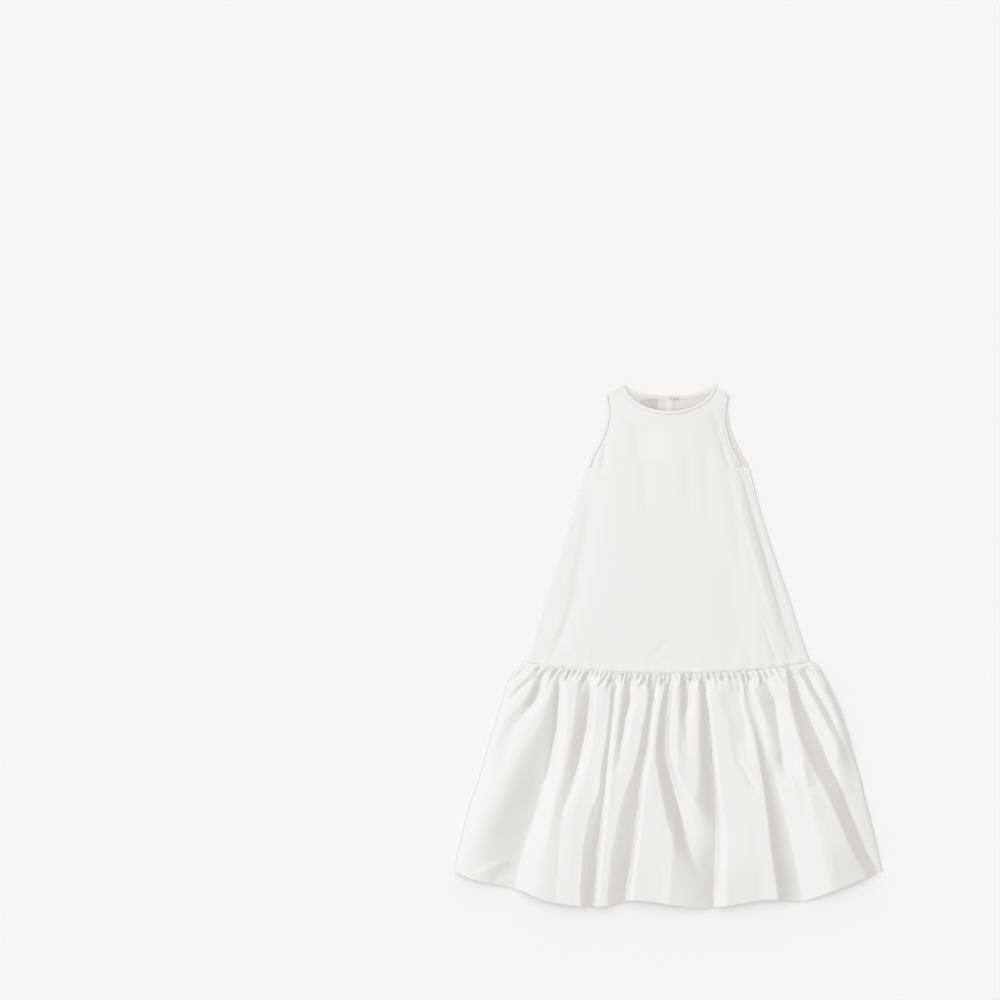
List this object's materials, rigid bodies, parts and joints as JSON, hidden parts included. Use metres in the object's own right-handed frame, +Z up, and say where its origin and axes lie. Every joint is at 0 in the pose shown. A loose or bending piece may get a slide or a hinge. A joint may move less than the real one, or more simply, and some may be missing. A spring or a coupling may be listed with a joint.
{
  "type": "baby's dress",
  "caption": "Sleeveless satin baby gown laid flat, with an A-line body, bound round neck and armholes, and a deep gathered flounce.",
  "frame": {"origin": "the middle of the outline of the gown as it lies, on the surface that it lies on", "axes": "+Y runs from the hem to the shoulders, +X to the right as seen from above with the neck away, and +Z up from the surface, out of the front"},
  "size_m": [0.7199, 0.879, 0.022],
  "materials": {
    "satin": "heavy ivory satin, softly glossy",
    "satin_binding": "the same ivory satin cut on the bias",
    "placket_tape": "cream satin, dull side out",
    "label_tape": "matt woven tape, bare",
    "wire": "nickelled wire"
  },
  "bodies": {
    "root": {"front_panel": "satin", "back_left_panel": "satin", "back_right_panel": "satin", "front_neck_binding": "satin_binding", "back_neck_binding_left": "satin_binding", "back_neck_binding_right": "satin_binding", "left_armhole_binding_front": "satin_binding", "right_armhole_binding_front": "satin_binding", "left_armhole_binding_back": "satin_binding", "right_armhole_binding_back": "satin_binding", "flounce_front": "satin", "flounce_back": "satin", "back_placket_strip": "placket_tape", "neck_label": "label_tape", "hook": "wire", "eye": "wire"}
  },
  "joints": []
}
